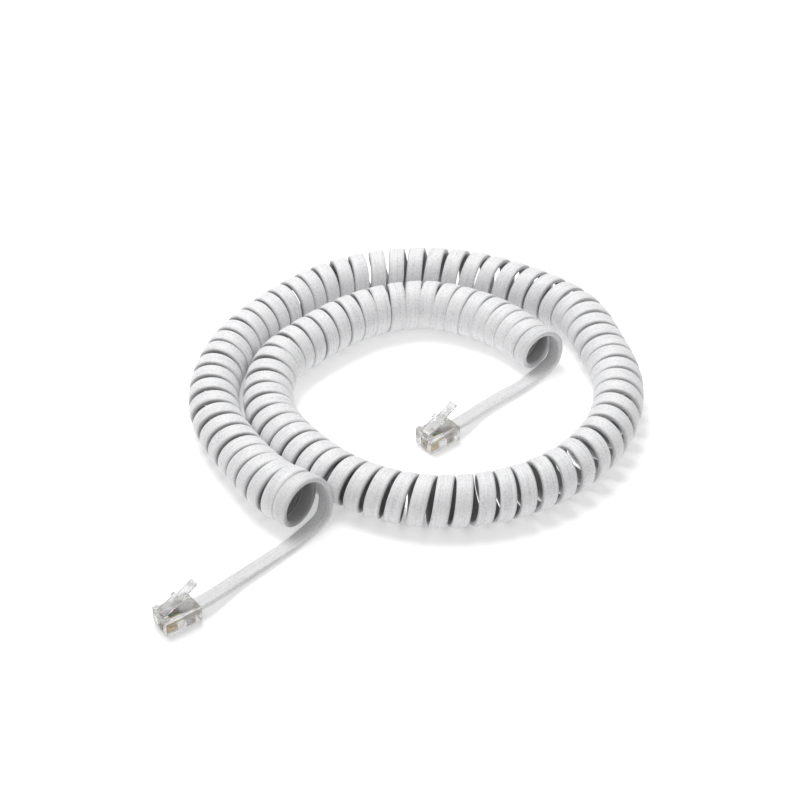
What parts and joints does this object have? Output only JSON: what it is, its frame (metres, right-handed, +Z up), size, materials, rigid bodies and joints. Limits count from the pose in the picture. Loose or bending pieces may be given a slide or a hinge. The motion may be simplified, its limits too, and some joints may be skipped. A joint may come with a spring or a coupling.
{
  "type": "coiled telephone handset cord",
  "caption": "White coiled flat handset cord laid in a spiral, with a clear modular plug and springy latch lever at each end.",
  "frame": {"origin": "centre of the footprint of the spiral and its plugs, on the surface it lies on", "axes": "+Z up from the surface, +Y along the longest side, away from the outer plug, +X to the right of it"},
  "size_m": [0.152, 0.1839, 0.0166],
  "materials": {
    "cord_jacket": "satin, smooth",
    "clear_plastic": "clear, polished",
    "contact_gold": "gold plated",
    "wire_black": "satin",
    "wire_red": "satin",
    "wire_green": "satin",
    "wire_yellow": "satin"
  },
  "bodies": {
    "cord": {"coil": "cord_jacket", "cord_tail_a": "cord_jacket", "cord_tail_b": "cord_jacket", "plug_a_housing": "clear_plastic", "plug_a_wedge": "clear_plastic", "plug_a_contact_1": "contact_gold", "plug_a_wire_1": "wire_black", "plug_a_contact_2": "contact_gold", "plug_a_wire_2": "wire_red", "plug_a_contact_3": "contact_gold", "plug_a_wire_3": "wire_green", "plug_a_contact_4": "contact_gold", "plug_a_wire_4": "wire_yellow", "plug_b_housing": "clear_plastic", "plug_b_wedge": "clear_plastic", "plug_b_contact_1": "contact_gold", "plug_b_wire_1": "wire_black", "plug_b_contact_2": "contact_gold", "plug_b_wire_2": "wire_red", "plug_b_contact_3": "contact_gold", "plug_b_wire_3": "wire_green", "plug_b_contact_4": "contact_gold", "plug_b_wire_4": "wire_yellow"},
    "latch_a": {"plug_a_latch": "clear_plastic"},
    "latch_b": {"plug_b_latch": "clear_plastic"}
  },
  "joints": [
    {"name": "latch_a_hinge", "type": "hinge", "parent": "cord", "child": "latch_a", "pos_m": [-0.07308, -0.08837, 0.0064], "axis": [-0.5878, 0.809, 0], "range_deg": [0, 18], "stiffness_Nm_per_rad": 0.1},
    {"name": "latch_b_hinge", "type": "hinge", "parent": "cord", "child": "latch_b", "pos_m": [0.00468, -0.00434, 0.0064], "axis": [-0.6293, 0.7771, 0], "range_deg": [0, 18], "stiffness_Nm_per_rad": 0.1}
  ]
}
